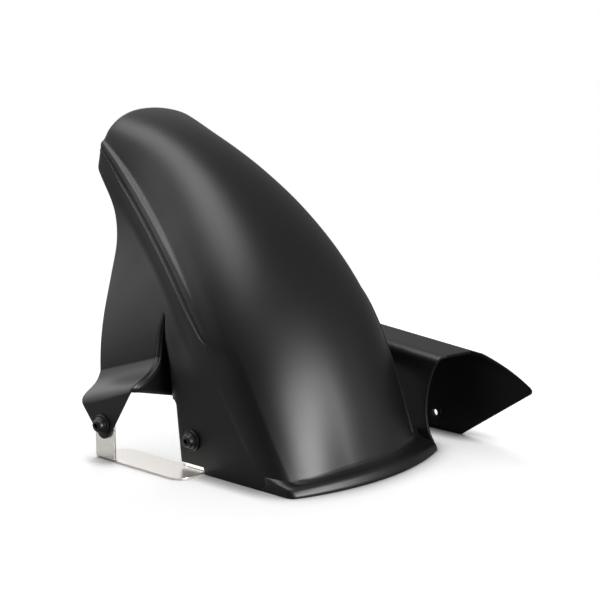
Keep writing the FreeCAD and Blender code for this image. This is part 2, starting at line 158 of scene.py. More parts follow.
def toPiece(name, mesh, finish, thickness=0.0, edge=0.0):
    data = bpy.data.meshes.new(name)
    mesh.to_mesh(data)
    mesh.free()
    data.materials.append(finish)
    piece = bpy.data.objects.new(name, data)
    scene.collection.objects.link(piece)
    if thickness:
        wall = piece.modifiers.new("wall", "SOLIDIFY")
        wall.thickness = thickness * 0.001
        wall.offset = -1
    if edge:
        rim = piece.modifiers.new("rim", "BEVEL")
        rim.width = edge * 0.001
        rim.segments = meshing["rimSegments"]
        rim.limit_method = "ANGLE"
        rim.angle_limit = math.radians(meshing["rimAngle"])
    return piece


def settle(piece, sharpAngle=meshing["smoothAngle"]):  # modifiers become plain mesh, smooth up to an angle
    evaluated = piece.evaluated_get(bpy.context.evaluated_depsgraph_get())
    data = bpy.data.meshes.new_from_object(evaluated)
    piece.modifiers.clear()
    piece.data = data
    data.name = piece.name
    data.shade_smooth()
    data.set_sharp_from_angle(angle=math.radians(sharpAngle))
    return piece


def linear(code):  # sRGB hex to scene-linear
    channels = [int(code[i:i + 2], 16) / 255 for i in (0, 2, 4)]
    return [c / 12.92 if c <= 0.04045 else ((c + 0.055) / 1.055) ** 2.4 for c in channels] + [1.0]


def addNode(tree, kind, settings=None, **links):
    # One node with its settings; a link is a value or (node, output name), keyed by input name.
    node = tree.nodes.new(kind)
    for key, value in (settings or {}).items():
        setattr(node, key, value)
    for key, value in links.items():
        socket = node.inputs[int(key[1:]) if key[0] == "i" and key[1:].isdigit() else key.replace("_", " ")]
        if isinstance(value, tuple) and hasattr(value[0], "outputs"):
            tree.links.new(value[0].outputs[value[1]], socket)
        else:
            socket.default_value = value
    return node


def newFinish(name):
    finish = bpy.data.materials.new(name)
    finish.use_nodes = True
    finish.node_tree.nodes.clear()
    return finish, finish.node_tree


def addSurface(tree, tone, relief, look):  # colour and gloss follow the tone, the bump follows the relief
    ramp = addNode(tree, "ShaderNodeValToRGB", Fac=(tone, "Fac"))
    for stop, code in zip(ramp.color_ramp.elements, look["colours"]):
        stop.color = linear(code)
    low, high = look["rough"]
    gloss = addNode(tree, "ShaderNodeMapRange", Value=(tone, "Fac"), To_Min=low, To_Max=high)
    bump = addNode(tree, "ShaderNodeBump", Height=(relief, "Fac"),
                   Strength=look["bump"], Distance=look["depth"] * 0.001)
    surface = addNode(tree, "ShaderNodeBsdfPrincipled", Base_Color=(ramp, "Color"), Normal=(bump, "Normal"),
                      Roughness=(gloss, "Result"), Metallic=look["metallic"],
                      Specular_IOR_Level=look["specular"])
    addNode(tree, "ShaderNodeOutputMaterial", Surface=(surface, "BSDF"))


def mouldedAbs():
    # Injection-moulded black ABS: a fine spark-eroded grain breaks the gloss, handling dulls it in patches.
    # The grain is drawn coarser than a real one, which would be too fine to show.
    look = {
        "colours": ("0d0d0e", "131314"), "rough": (0.38, 0.46), "metallic": 0.0, "specular": 0.2,
        "grain": 0.35, "grainDetail": 2.0, "cloud": 60.0, "cloudDetail": 4.0, "bump": 0.12, "depth": 0.1,
    }
    finish, tree = newFinish("moulded black ABS")
    place = addNode(tree, "ShaderNodeTexCoord")
    grain = addNode(tree, "ShaderNodeTexNoise", Vector=(place, "Object"),
                    Scale=1000 / look["grain"], Detail=look["grainDetail"])
    cloud = addNode(tree, "ShaderNodeTexNoise", Vector=(place, "Object"),
                    Scale=1000 / look["cloud"], Detail=look["cloudDetail"])
    addSurface(tree, cloud, grain, look)
    return finish


def sheetSteel():
    # Rolled stainless sheet: bright, with fine lines along its length and a little haze. The lines are drawn
    # coarser than real ones, which would be too fine to show.
    look = {
        "colours": ("d3cfca", "f1eeea"), "rough": (0.22, 0.36), "metallic": 1.0, "specular": 0.5,
        "line": 0.25, "lineLength": 30.0, "detail": 3.0, "bump": 0.06, "depth": 0.05,
    }
    finish, tree = newFinish("rolled stainless sheet")
    place = addNode(tree, "ShaderNodeTexCoord")
    fine = 1000 / look["line"]
    stretch = addNode(tree, "ShaderNodeMapping", Vector=(place, "Object"))
    stretch.inputs["Scale"].default_value = (1000 / look["lineLength"], fine, fine)
    lines = addNode(tree, "ShaderNodeTexNoise", Vector=(stretch, "Vector"), Scale=1.0, Detail=look["detail"])
    addSurface(tree, lines, lines, look)
    return finish


def coatedSteel(name, colours, rough, metallic):
    # Turned steel: its coating gives a cloudy tone and breaks the gloss a little.
    look = {
        "colours": colours, "rough": rough, "metallic": metallic, "specular": 0.22,
        "cloud": 2.5, "detail": 4.0, "bump": 0.08, "depth": 0.1,
    }
    finish, tree = newFinish(name)
    place = addNode(tree, "ShaderNodeTexCoord")
    cloud = addNode(tree, "ShaderNodeTexNoise", Vector=(place, "Object"),
                    Scale=1000 / look["cloud"], Detail=look["detail"])
    addSurface(tree, cloud, cloud, look)
    return finish


blackAbs = mouldedAbs()
steel = sheetSteel()
blackSteel = coatedSteel("black phosphated steel", ("08080a", "101012"), (0.36, 0.48), 0.0)
nutSteel = coatedSteel("zinc plated steel", ("9fa2a6", "c9ccd0"), (0.26, 0.38), 1.0)
print("finishes made")

shell = {
    "axle": (-345.0, -73.0), "crownRadius": 371.0, "roundness": 2.35, "footRadius": 165.0,
    "wall": 2.5, "edge": 0.7, "outside": (60.0, 0.0, 150.0), "softenings": 3, "firmNets": 2,
    # angle about the axle, half width, drop to the edge, share of the round, side's top, foot and valley
    "stations": [
        (12.5, 94.0, 30.5, 0.61, 94.0, 94.0, 10.0), (20.0, 98.5, 43.0, 0.73, 95.0, 94.0, 10.0),
        (28.0, 100.0, 50.0, 0.83, 96.5, 94.5, 11.0), (36.0, 97.0, 53.0, 0.885, 96.0, 97.0, 14.0),
        (44.0, 89.5, 54.0, 0.92, 90.5, 99.0, 20.0), (52.0, 77.5, 54.5, 0.94, 80.5, 99.0, 27.0),
        (60.0, 64.0, 53.0, 0.95, 68.5, 94.5, 33.0), (69.0, 52.0, 44.5, 0.955, 56.5, 81.0, 36.0),
        (77.6, 47.5, 26.5, 0.96, 50.0, 70.0, 36.0),
    ],
    "splitAngle": 46.2, "upperRows": 60, "lowerRows": 104, "acrossRows": 64, "curveSteps": 4,
    "valleySoft": 9.0, "valleyDip": 3.8, "valleyDepth": 32.0, "valleySpread": 12.0, "valleyTip": 20.0,
    "valleyFade": 10.0, "tuck": 6.5, "tuckAngles": (36.0, 14.2), "tuckFade": (0.3, 0.85),
    "leftGain": [  # angle, share added to the left half's width
        (12.5, -0.02), (20.0, -0.04), (28.0, -0.06), (36.0, -0.035),
        (44.0, 0.02), (52.0, 0.08), (64.0, 0.17), (77.6, 0.28),
    ],
    "leftLift": 0.4, "liftAngles": (42.0, 70.0),
}
rib = {  # the two raised lines along the crease
    "crease": 3.0, "start": 0.9, "crownPoint": 0.93, "width": 9.0, "plainWidth": 3.5, "height": 2.2,
    "end": 31.0, "fade": 7.5, "spread": 15.0, "tip": 8.0, "tipShare": 0.4,
    "upper": [(1.6, 3.0, 1.5), (-0.2, 1.5, 0.5)],  # inward, up, and further up where the rib is full
    "face": [(0.25, 0.55), (0.55, 0.0), (0.85, 0.0), (1.0, 0.9)],  # share of the width, share of the height
    "below": (1.2, 4.0, 6.5, 9.0),
}
leftEdge = {
    "trim": 0.76, "full": 0.97, "angles": (34.0, 47.0), "bead": 1.6, "wide": (0.0, 0.012, 0.03),
    "flange": [(1.4, 0.0), (1.0, 3.0), (0.0, 9.0)],  # out from the bead, down
}


def stationAt(angle, table="stations"):  # a table's values at an angle, along a smooth curve
    rows = np.array(shell[table])
    values = rows[:, 1:]
    found = hermite(rows[:, 0], values, np.gradient(values, rows[:, 0], axis=0), angle)
    return np.moveaxis(found, -1, 0)


def fanPoint(angle, y, radius):
    turn = np.radians(angle)
    x = shell["axle"][0] + radius * np.cos(turn)
    z = shell["axle"][1] + radius * np.sin(turn)
    return np.stack(np.broadcast_arrays(x, y, z), axis=-1)


def crownSection(angle, u):  # (y, radius) on the crown, u from 1 at its left edge to -1 at its right edge
    half, drop, share = stationAt(angle)[:3]
    power = shell["roundness"]
    full = 1 - (1 - share ** power) ** (1 / power)
    fall = (1 - (1 - np.abs(share * u) ** power) ** (1 / power)) / full
    left = np.clip(u, 0, 1)  # the left side is tucked in at the guard and fuller at the tip
    low, high = shell["liftAngles"]
    lift = shell["leftLift"] * left * smoothStep((angle - low) / (high - low))
    high, low = shell["tuckAngles"]
    tuck = shell["tuck"] * smoothStep((high - angle) / (high - low))  # the crown draws in toward the lip
    near, far = shell["tuckFade"]
    tuck = tuck * (1 - smoothStep((-u - near) / (far - near)))
    y = half * u * (1 + stationAt(angle, "leftGain")[0] * left)
    return y, shell["crownRadius"] - drop * fall * (1 - lift) - tuck


def sideSection(angle, radius):  # y of the right side at an angle and radius
    drop, top, foot, valley = stationAt(angle)[[1, 3, 4, 5]]
    depth = shell["crownRadius"] - drop - radius - valley
    soft = (depth + np.sqrt(depth ** 2 + shell["valleySoft"] ** 2)) / 2
    flare = soft / (shell["crownRadius"] - drop - shell["footRadius"] - valley)
    below = (shell["crownRadius"] - drop - radius - shell["valleyDepth"]) / shell["valleySpread"]
    dip = shell["valleyDip"] * np.exp(-below ** 2)
    dip = dip * smoothStep((angle - rib["end"]) / shell["valleyFade"])
    dip = dip * smoothStep((shell["stations"][-1][0] - angle) / shell["valleyTip"])
    return -top - (foot - top) * flare + dip


def sideAt(x, z):
    dx, dz = x - shell["axle"][0], z - shell["axle"][1]
    return sideSection(np.degrees(np.arctan2(dz, dx)), np.hypot(dx, dz))


def onSide(flat):  # lifts points (x, z) onto the right side
    return np.stack([flat[..., 0], sideAt(flat[..., 0], flat[..., 1]), flat[..., 1]], axis=-1)


lip = {
    "reach": 18.5, "radius": 232.0, "rootHeight": 20.0, "rootFall": 7.0, "lap": 2.0, "crownLap": 4.5,
    "step": 0.3, "bulge": 2.0, "outside": (80.0, 0.0, 3.0),
    # share of the way out, height as a share of the root's, and that height where the valley is closed
    "valley": [(0.1, 0.8, 0.95), (0.33, 0.65, 0.88), (0.66, 0.56, 0.72)],
    "rim": [(4.4, 0.52), (2.6, 0.43), (1.2, 0.27), (0.3, 0.1), (0.5, 0.0)],  # way back, share of height
    "endAngle": 26.0, "rightEnd": -94.05, "leftEnd": 96.0, "cornerRadii": (5.0, 3.0), "valleyStart": 1.5,
    "valleyEnd": 11.0, "endDepth": (18.0, 24.0), "columns": 96, "rows": 30,
    "reachShares": (0.5, 1.2), "footAngles": (12.6, 25.0),  # where the searches for the crown begin
}


def lipRoot(turn):
    return lip["rootHeight"] - lip["rootFall"] * (np.degrees(turn) / lip["endAngle"]) ** 2


def crownReach(turn, height):  # from the lip's upright axis out to the crown
    near, away = [np.full_like(turn, lip["radius"] * share) for share in lip["reachShares"]]
    for step in range(meshing["halvings"]):
        reach = (near + away) / 2
        x = lip["reach"] - lip["radius"] + reach * np.cos(turn) - shell["axle"][0]
        z = height - shell["axle"][1]
        angle = np.degrees(np.arctan2(z, x))
        u = np.clip(reach * np.sin(turn) / stationAt(angle)[0], -1, 1)
        inside = np.hypot(x, z) < crownSection(angle, u)[1]
        near = np.where(inside, reach, near)
        away = np.where(inside, away, reach)
    return near


def lipFace():  # net of the flared lip, from under the crown's edge to the floor
    ease = (1 - np.cos(np.linspace(0, math.pi, lip["columns"]))) / 2
    y = lip["rightEnd"] + (lip["leftEnd"] - lip["rightEnd"]) * ease
    turn = np.arcsin(y / lip["radius"])
    root = lipRoot(turn)
    start = crownReach(turn, root)
    rim = np.full_like(y, lip["radius"] + lip["bulge"])
    for radius, away in zip(lip["cornerRadii"], (y - lip["rightEnd"], lip["leftEnd"] - y)):
        rim -= radius - np.sqrt(radius ** 2 - (radius - np.minimum(away, radius)) ** 2)
    deeper = lip["endDepth"][0] * np.clip(1 - (y - lip["rightEnd"]) / lip["endDepth"][1], 0, 1) ** 3
    start = start - deeper
    flare = rim - start
    inward = y - lip["rightEnd"] - lip["valleyStart"]
    opening = smoothStep(inward / lip["valleyEnd"])  # the valley closes at its right end
    under = crownReach(turn, root + lip["lap"]) - lip["step"] - deeper
    points = [(under, root + lip["lap"])]
    for out, up, full in lip["valley"]:
        points.append((start + out * (flare - lip["rim"][0][0]), (full + (up - full) * opening) * root))
    for back, up in lip["rim"]:
        points.append((rim - back, up * root))
    columns = []
    for k in range(len(y)):
        line = smoothPath([(reach[k], height[k]) for reach, height in points], lip["rows"])
        x = lip["reach"] - lip["radius"] + np.sqrt(line[:, 0] ** 2 - y[k] ** 2)
        columns.append(np.stack([x, np.full_like(x, y[k]), line[:, 1]], axis=-1))
    return np.stack(columns, axis=1)


def crownFoot(u):  # angle at which each line of the crown ends, a lap below the lip's root
    low, high = [np.full_like(u, angle) for angle in lip["footAngles"]]
    for step in range(meshing["halvings"]):
        angle = (low + high) / 2
        y, radius = crownSection(angle, u)
        point = fanPoint(angle, y, radius)
        turn = np.arctan2(point[..., 1], point[..., 0] - lip["reach"] + lip["radius"])
        above = point[..., 2] > lipRoot(turn) - lip["crownLap"]
        high = np.where(above, angle, high)
        low = np.where(above, low, angle)
    return high


def crownAngles(u):  # rows of angles from the crown's rear tip to its front edge, shape (rows, len(u))
    tip = shell["stations"][-1][0]
    upper = np.linspace(tip, shell["splitAngle"], shell["upperRows"] + 1)[:, None] * np.ones_like(u)
    t = np.linspace(0, 1, shell["lowerRows"] + 1)[1:, None]
    lower = shell["splitAngle"] * (1 - t) + crownFoot(u) * t
    return np.concatenate([upper, lower])


def leftLimit(angle):  # the crown is trimmed on its left side, beside the chain guard
    low, high = leftEdge["angles"]
    share = smoothStep((angle - low) / (high - low))
    return leftEdge["trim"] + (leftEdge["full"] - leftEdge["trim"]) * share


def crownNet():
    across = np.linspace(0, 1, shell["acrossRows"])
    right = np.arccos(-rib["start"])
    angles = crownAngles(np.cos(np.arccos(leftEdge["trim"]) * (1 - across) + right * across))
    u = np.cos(np.arccos(leftLimit(angles)) * (1 - across) + right * across)
    y, radius = crownSection(angles, u)
    return fanPoint(angles, y, radius)


def creaseNet():
    # From the crown's edge to the side: two ribs with a channel between, which run out into a plain round.
    angles = crownAngles(np.array([-rib["start"]]))[:, 0]
    half, drop, top = stationAt(angles)[[0, 1, 3]]
    shown = smoothStep((angles - rib["end"]) / rib["fade"])
    atTip = smoothStep((shell["stations"][-1][0] - angles) / rib["tip"])
    rise = shown * (rib["tipShare"] + (1 - rib["tipShare"]) * atTip)
    spread = smoothStep((angles - rib["end"]) / rib["spread"])
    width = rib["plainWidth"] + (rib["width"] - rib["plainWidth"]) * rise * spread
    edge = shell["crownRadius"] - drop - rib["crease"]
    ribbed = [crownSection(angles, np.full_like(angles, -u)) for u in (rib["start"], rib["crownPoint"])]
    for reach, (inward, up, more) in zip((half, top), rib["upper"]):
        ribbed.append((inward * rise - reach, edge + up + more * rise))
    for down, bump in rib["face"]:
        radius = edge - down * width
        ribbed.append((sideSection(angles, radius) - bump * rib["height"] * rise, radius))
    for below in rib["below"]:
        radius = edge - width - below
        ribbed.append((sideSection(angles, radius), radius))
    ribbed = np.stack([np.stack(c, axis=-1) for c in ribbed], axis=-2)
    start, end = ribbed[:, :1], ribbed[:, -1:]
    corner = np.stack([-(half + top) / 2, edge + rib["crease"]], axis=-1)[:, None]
    t = np.linspace(0, 1, ribbed.shape[1])[None, :, None]
    plain = (1 - t) ** 2 * start + 2 * t * (1 - t) * corner + t * t * end
    line = softCurve(plain + (ribbed - plain) * shown[:, None, None], shell["curveSteps"])
    return fanPoint(angles[:, None], line[..., 0], line[..., 1])


def leftEdgeNet():  # the crown's left edge, with a bead along it and a short flange below
    angles = crownAngles(np.array([leftEdge["trim"]]))[:, 0]
    limit = leftLimit(angles)
    corners = [crownSection(angles, limit + wide) for wide in leftEdge["wide"]]
    y, radius = corners[-1]
    corners[-1] = (y, radius + leftEdge["bead"])
    corners += [(y + out, radius - down) for out, down in leftEdge["flange"]]
    line = softCurve(np.stack([np.stack(c, axis=-1) for c in corners], axis=-2), shell["curveSteps"])
    return fanPoint(angles[:, None], line[..., 0], line[..., 1])[:, ::-1]


flank = {
    "drop": 26.0, "cornerRadius": 7.0, "tipRun": 8,
    "edge": [(-249.0, 201.0), (-240.0, 178.0), (-238.0, 150.0), (-235.0, 118.0)],
}
leg = {
    "rearFoot": (-224.0, 62.0), "frontFoot": (-155.5, 84.0), "frontEdge": (-155.2, 106.0), "foldRise": 9.0,
    "shelfShift": 3.0, "shelfDrop": 12.0, "tabFace": -125.0, "tabFold": 12.0,
    "tabPoint": (-190.0, 14.4), "tabRadius": 8.0, "tabRows": 16, "tabArc": 20, "foldSteps": 5,
    "foldReach": (6.5, 4.5), "returnRuns": 5,
}
recess = {
    "apex": (-152.8, 128.0), "foot": (-152.5, 54.0), "depth": 24.0, "returnDepth": 3.0, "ledge": 2.2,
    "panelEdge": [
        (-123.0, 56.0), (-124.5, 77.0), (-126.0, 85.2), (-131.5, 94.6), (-142.0, 108.3), (-152.0, 128.0),
    ],
    "depthPower": 0.6, "rollPower": 2.5, "fullWidth": 14.0, "upperRows": 44, "lowerRows": 30, "innerRows": 8,
    "returnRows": (0, 0.3, 0.7, 1.0), "ledgeRows": (0.3, 0.7, 1.0),
}
panel = {
    "rearTop": (-131.0, 59.5), "cornerRadius": 5.0, "rearFoot": (-126.0, 6.0), "step": (-99.5, 6.0),
    "stepFoot": (-97.5, 0.0), "cheekRear": (-33.0, 0.0),
    "runs": {"recess": 30, "gap": 8, "corner": 8, "rear": 18, "raised": 8, "step": 2},
}


def recessDepth(z):
    rise = np.clip((recess["apex"][1] - z) / (recess["apex"][1] - recess["foot"][1]), 0, 1)
    return recess["depth"] * rise ** recess["depthPower"]


def recessFall(flat):  # how far the panel rolls into the recess
    x, z = flat[..., 0], flat[..., 1]
    apexZ, footZ = recess["apex"][1], recess["foot"][1]
    deepX = np.interp(z, [footZ, apexZ], [recess["foot"][0], recess["apex"][0]])
    edgeX = np.interp(z, [p[1] for p in recess["panelEdge"]], [p[0] for p in recess["panelEdge"]])
    q = np.clip((edgeX - x) / np.maximum(edgeX - deepX, 0.01), 0, 1)
    return recessDepth(z) * q ** recess["rollPower"]


def toward(starts, ends, length):  # each start moved toward its end by a length
    starts = np.array(starts, float)
    way = np.array(ends, float) - starts
    return starts + way * length / np.linalg.norm(way, axis=-1, keepdims=True)


def upperNet(rim):  # flank and leg, from the crease to just above the leg's fold
    flat = rim[:, [0, 2]]
    front = toward(leg["frontFoot"], leg["frontEdge"], leg["foldRise"])
    rear = toward(leg["rearFoot"], flank["edge"][-1], leg["foldRise"])
    legFront = smoothPath([recess["apex"], leg["frontEdge"], front], recess["lowerRows"] + 1)
    above = straightPath([flat[-1], recess["apex"]], [recess["upperRows"]])
    legFront = np.concatenate([above, legFront[1:]])
    tip = shell["stations"][-1]
    corner = fanPoint(tip[0], 0.0, shell["crownRadius"] - tip[2] - flank["drop"])[[0, 2]]
    bend = roundedCorner(flat[0], corner, flank["edge"][0], flank["cornerRadius"], flank["tipRun"])
    trimmed = smoothPath([bend[-1]] + flank["edge"] + [rear], len(legFront) - 2 * flank["tipRun"] + 1)
    legRear = np.concatenate([straightPath([flat[0], bend[0]], [flank["tipRun"]])[:-1], bend[:-1], trimmed])
    net = onSide(patch(flat, straightPath([rear, front], [len(flat) - 1]), legRear, legFront))
    net[0] = rim
    return net


def foldNets(upper):  # the leg's fold into its shelf, the fold down into the screw tab, and the tab
    start = upper[-1]
    share = np.linspace(0, 1, len(start))[:, None]
    feet = [np.array(leg[key]) for key in ("rearFoot", "frontFoot")]
    foot = onSide(feet[0] * (1 - share) + feet[1] * share)
    outer = foot + np.array([leg["shelfShift"], 0, -leg["shelfDrop"]])
    outer[:, 1] = leg["tabFace"]
    point = np.array([leg["tabPoint"][0], leg["tabFace"], leg["tabPoint"][1]])
    ends = [toward(outer[k], point, leg["tabFold"]) for k in (0, -1)]
    below = ends[0] * (1 - share) + ends[1] * share
    path = [start, foot, outer, below]
    corners = [start]
    for before, corner, after, reach in zip(path, path[1:], path[2:], leg["foldReach"]):
        corners += [toward(corner, other, reach) for other in (before, after)]
    fold = softCurve(np.stack(corners + [below], axis=-2), leg["foldSteps"])
    flat = below[:, [0, 2]]
    tip = roundedCorner(flat[0], leg["tabPoint"], flat[-1], leg["tabRadius"], leg["tabArc"])
    spare = len(flat) - len(tip)
    down = straightPath([flat[0], tip[0]], [spare // 2])[:-1]
    up = straightPath([tip[-1], flat[-1]], [spare - spare // 2])[1:]
    lower = np.concatenate([down, tip, up])
    edge = np.stack([lower[:, 0], np.full(len(lower), leg["tabFace"]), lower[:, 1]], axis=-1)
    return fold.transpose(1, 0, 2), between(below, edge, leg["tabRows"])


def lowerNet(rim):  # front panel, from the crease to the recess, its rear edge and the floor
    flat = rim[:, [0, 2]]
    runs = panel["runs"]
    bend = roundedCorner(recess["foot"], panel["rearTop"], panel["rearFoot"],
                         panel["cornerRadius"], runs["corner"] + 1)
    spare = len(flat) - 1 - sum(runs.values())
    bottom = np.concatenate([
        straightPath([recess["apex"], recess["foot"], bend[0]], [runs["recess"], runs["gap"]]), bend[1:],
        straightPath([bend[-1], panel["rearFoot"], panel["step"], panel["stepFoot"], panel["cheekRear"]],
                     [runs["rear"], runs["raised"], runs["step"], spare])[1:]])
    left = straightPath([flat[0], recess["apex"]], [recess["upperRows"]])
    right = straightPath([flat[-1], panel["cheekRear"]], [recess["upperRows"]])
    net = patch(flat, bottom, left, right)
    lifted = onSide(net)
    lifted[..., 1] += recessFall(net)
    lifted[0] = rim
    return lifted


def recessNet(upper, fold, deep):
    # The leg's front return with its stepped edge, on along the shelf and down to the recess's deep line.
    last = leg["returnRuns"] * leg["foldSteps"]
    outer, beside = [np.concatenate([upper[recess["upperRows"]:, k], fold[1:last, k]]) for k in (-1, -3)]
    inner = np.concatenate([deep, np.repeat(deep[-1:], last - 1, axis=0)])
    ahead = outer - beside
    ahead = ahead / np.linalg.norm(ahead, axis=1, keepdims=True)
    inward = np.cross(ahead, np.gradient(outer, axis=0))
    inward = inward / np.linalg.norm(inward, axis=1, keepdims=True)
    inward = inward * np.sign(inward[:, 1:2] - inward[:, 2:])
    size = np.minimum(1, np.linalg.norm(inner - outer, axis=1) / recess["fullWidth"])[:, None]
    rows = [outer + inward * size * recess["returnDepth"] * t for t in recess["returnRows"]]
    rows += [rows[-1] + ahead * size * recess["ledge"] * t for t in recess["ledgeRows"]]
    rows += list(between(rows[-1], inner, recess["innerRows"])[1:])
    return np.stack(rows)


def cornerCircle(before, corner, after, radius):  # centre of the circle in a corner, and where it touches
    before, corner, after = [np.array(p, float) for p in (before, corner, after)]
    toBefore = (before - corner) / np.linalg.norm(before - corner)
    toAfter = (after - corner) / np.linalg.norm(after - corner)
    half = math.acos(np.clip(toBefore @ toAfter, -1, 1)) / 2
    middle = corner + (toBefore + toAfter) / np.linalg.norm(toBefore + toAfter) * radius / math.sin(half)
    return middle, corner + toBefore * radius / math.tan(half), corner + toAfter * radius / math.tan(half)


def roundedCorner(before, corner, after, radius, count):  # arc that rounds one corner of an outline
    middle, start, end = cornerCircle(before, corner, after, radius)
    start, end = start - middle, end - middle
    sweep = math.atan2(start[0] * end[1] - start[1] * end[0], start @ end)
    turns = np.linspace(0, sweep, count)
    spin = [[np.cos(turns), -np.sin(turns)], [np.sin(turns), np.cos(turns)]]
    return middle + np.einsum("ijk,j->ki", np.array(spin), start)


def cheekNet(face):  # small plate that closes the lip's right end down to the floor
    top = face[:, 0]
    return between(top, top * np.array([1.0, 1.0, 0.0]), 1)


crown = crownNet()
crease = creaseNet()
split = shell["upperRows"]
upperSide = upperNet(crease[:split + 1, -1])
lowerSide = lowerNet(crease[split:, -1])
foldNet, tabNet = foldNets(upperSide)
deepLine = lowerSide[-1, :panel["runs"]["recess"] + 1]
wallNet = recessNet(upperSide, foldNet, deepLine)
face = lipFace()
nets = [crown, crease, leftEdgeNet(), upperSide, lowerSide, foldNet, tabNet, wallNet]
skin = joinNets(nets, shell["outside"], shell["softenings"], shell["firmNets"])
shellPiece = toPiece("moulded_shell", skin, blackAbs, shell["wall"], shell["edge"])
settle(shellPiece)
lipSkin = joinNets([face, cheekNet(face)], lip["outside"])
lipPiece = settle(toPiece("front_lip", lipSkin, blackAbs, shell["wall"]))
floorHeight = toFrame((0.0, 0.0, 0.0))[2]
for corner in lipPiece.data.vertices:  # the foot's inner edge stays on the floor
    corner.co.z = max(corner.co.z, floorHeight)
print("shell made:", len(shellPiece.data.polygons), "faces")

guard = {
    "outer": 150.0, "innerTop": 98.5, "innerFoot": 93.0, "height": 83.0, "fall": 3.0, "tilt": 4.6,
    "innerRound": 9.0, "outerRound": 6.0, "rear": -175.0, "rearHeight": 48.0, "footRear": -125.0,
    "footFront": -15.0, "plateEnd": -2.0, "margin": 7.0, "innerFootEnd": -4.5, "innerTopEnd": -6.5,
    "innerHollow": -14.0, "hollowAt": 0.65, "edge": 0.5, "outside": (-60.0, 120.0, 140.0),
    "shoulder": (4.0, 81.0), "brow": (31.0, 71.5), "tip": (63.5, 53.0), "tipRadius": 3.5,
    "hole": (-44.0, 15.5), "holeDiameter": 6.5, "bossDiameter": 15.0, "bossHeight": 1.6, "noseRoll": 2.0,
    "columns": 70, "wallRows": 18, "noseColumns": 46, "plateRows": 14, "roundRows": (12, 10),
    "bossSink": 1.0, "drillReach": (6.0, 3.0), "drillSides": 48,
}


def circleThrough(a, b, c):
    a, b, c = [np.array(p, float) for p in (a, b, c)]
    rows = 2 * np.array([b - a, c - a])
    centre = np.linalg.solve(rows, [b @ b - a @ a, c @ c - a @ a])
    return centre, np.linalg.norm(a - centre)


def guardLift(x, height):  # world height of a line of the sloping channel
    tilt = math.radians(guard["tilt"])
    return guard["height"] - x * math.tan(tilt) + (height - guard["height"]) / math.cos(tilt)


def guardTip():  # circle that rounds the tip between the brow and the lower edge
    return cornerCircle(guard["brow"], guard["tip"], (guard["footFront"], 0.0), guard["tipRadius"])


def guardEnds(x):  # lowest and highest point of the outer wall along its length
    tipX, tipZ = guard["tip"]
    low = np.where(x < guard["footRear"], guard["footRear"] - x, 0) * guard["rearHeight"]
    low = low / (guard["footRear"] - guard["rear"])
    low = low + np.maximum(0, x - guard["footFront"]) * tipZ / (tipX - guard["footFront"])
    centre, radius = circleThrough(guard["shoulder"], guard["brow"], guard["tip"])
    side = np.sign(guard["brow"][1] - centre[1])
    high = centre[1] + side * np.sqrt(np.maximum(0, radius ** 2 - (x - centre[0]) ** 2))
    high = np.where(x < guard["shoulder"][0], np.inf, high)
    centre, upper, lower = guardTip()
    half = np.sqrt(np.maximum(0, guard["tipRadius"] ** 2 - (x - centre[0]) ** 2))
    low = np.where(x > lower[0], centre[1] - half, low)
    high = np.where(x > upper[0], np.minimum(high, centre[1] + half), high)
    return low, high


def guardRounds():  # the channel's two rounded edges, as (y, height)
    low = guard["height"] - guard["fall"]
    foot, top = (guard["innerFoot"], 0.0), (guard["innerTop"], guard["height"])
    edge, outerFoot = (guard["outer"], low), (guard["outer"], 0.0)
    inner = roundedCorner(foot, top, edge, guard["innerRound"], guard["roundRows"][0])
    return inner, roundedCorner(top, edge, outerFoot, guard["outerRound"], guard["roundRows"][1])


def wallRow(x, top, share):
    low = guardEnds(x)[0]
    z = guardLift(x, top)
    return z + (low - z) * share


def guardChannel():
    inner, outer = guardRounds()
    shares = np.linspace(1, 0, guard["wallRows"])[:-1]
    t = np.linspace(0, 1, guard["columns"])
    hollowTop = guard["height"] - guard["innerRound"]
    hollow = (guard["innerHollow"], guard["hollowAt"] * hollowTop)
    centre, radius = circleThrough((guard["innerFootEnd"], 0), hollow, (guard["innerTopEnd"], hollowTop))
    rows = []
    for share in shares:
        z = inner[0, 1] * (1 - share)
        front = centre[0] - np.sqrt(radius ** 2 - (z - centre[1]) ** 2)
        x = guard["rear"] + (front - guard["rear"]) * t
        z = wallRow(x, inner[0, 1], share)
        tilt = math.radians(guard["tilt"])
        height = guard["height"] + (z - guard["height"] + x * math.tan(tilt)) * math.cos(tilt)
        y = guard["innerFoot"] + (guard["innerTop"] - guard["innerFoot"]) * height / guard["height"]
        rows.append(np.stack([x, y, z], axis=-1))
    start, end = inner[-1], outer[0]
    margin = (guard["outer"] - guard["margin"] - start[0]) / (end[0] - start[0])
    plate = start + (end - start) * np.append(np.linspace(0, margin, guard["plateRows"])[1:], 1.0)[:, None]
    ends = np.linspace(guard["innerTopEnd"], guard["plateEnd"], len(inner))
    spine = [(y, h, front) for (y, h), front in zip(inner, ends)]
    spine += [(y, h, guard["plateEnd"]) for y, h in np.concatenate([plate, outer[1:]])]
    for y, height, front in spine:
        x = guard["rear"] + (front - guard["rear"]) * t
        rows.append(np.stack([x, np.full_like(x, y), guardLift(x, height)], axis=-1))
    for share in shares[::-1]:
        x = guard["rear"] + (guard["plateEnd"] - guard["rear"]) * t
        z = wallRow(x, outer[-1, 1], share)
        rows.append(np.stack([x, np.full_like(x, guard["outer"]), z], axis=-1))
    return np.stack(rows)


